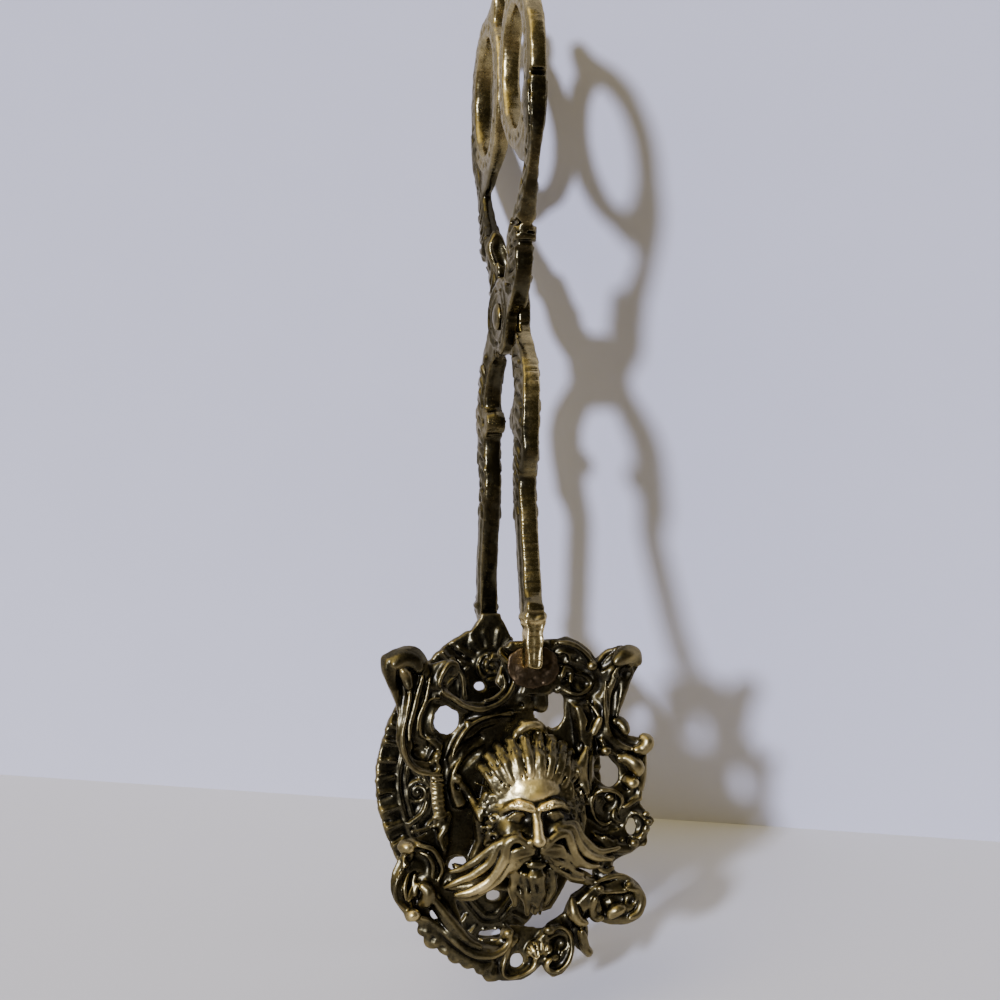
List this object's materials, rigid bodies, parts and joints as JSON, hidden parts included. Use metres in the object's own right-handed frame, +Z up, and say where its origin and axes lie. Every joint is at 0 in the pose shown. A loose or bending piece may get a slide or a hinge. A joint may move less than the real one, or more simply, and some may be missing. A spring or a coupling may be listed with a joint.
{
  "type": "scissor serving tongs",
  "caption": "Cast brass scissor serving tongs: ringed arms crossing on a rivet, a pierced scroll plate with a bearded mask facing an oval fluted plate.",
  "frame": {"origin": "on the ground under the middle of the closed tongs, which stand on the lower ends of both plates", "axes": "+Z up the length of the tongs to the finger rings, X along the rivet, Y the way the arms open, the mask facing -Y"},
  "size_m": [0.063, 0.0642, 0.2271],
  "materials": {
    "dark_brass": "cast, dark patina, worn on the edges",
    "worn_brass": "cast, patina rubbed off the edges",
    "rivet_brass": "hammered rivet, patina",
    "plate_brass": "cast, black in the recesses, rubbed gold on the relief",
    "solder_metal": "dull brown solder"
  },
  "bodies": {
    "carrier_half": {"carrier_arm": "dark_brass", "pivot_rivet": "rivet_brass", "carrier_plate": "plate_brass", "carrier_solder": "solder_metal"},
    "mask_half": {"mask_arm": "worn_brass", "mask_plate": "plate_brass", "mask_solder": "solder_metal"}
  },
  "joints": [
    {"name": "pivot", "type": "hinge", "parent": "carrier_half", "child": "mask_half", "pos_m": [0.00234, 0, 0.1495], "axis": [-1, 0, 0], "range_deg": [0, 25]}
  ]
}
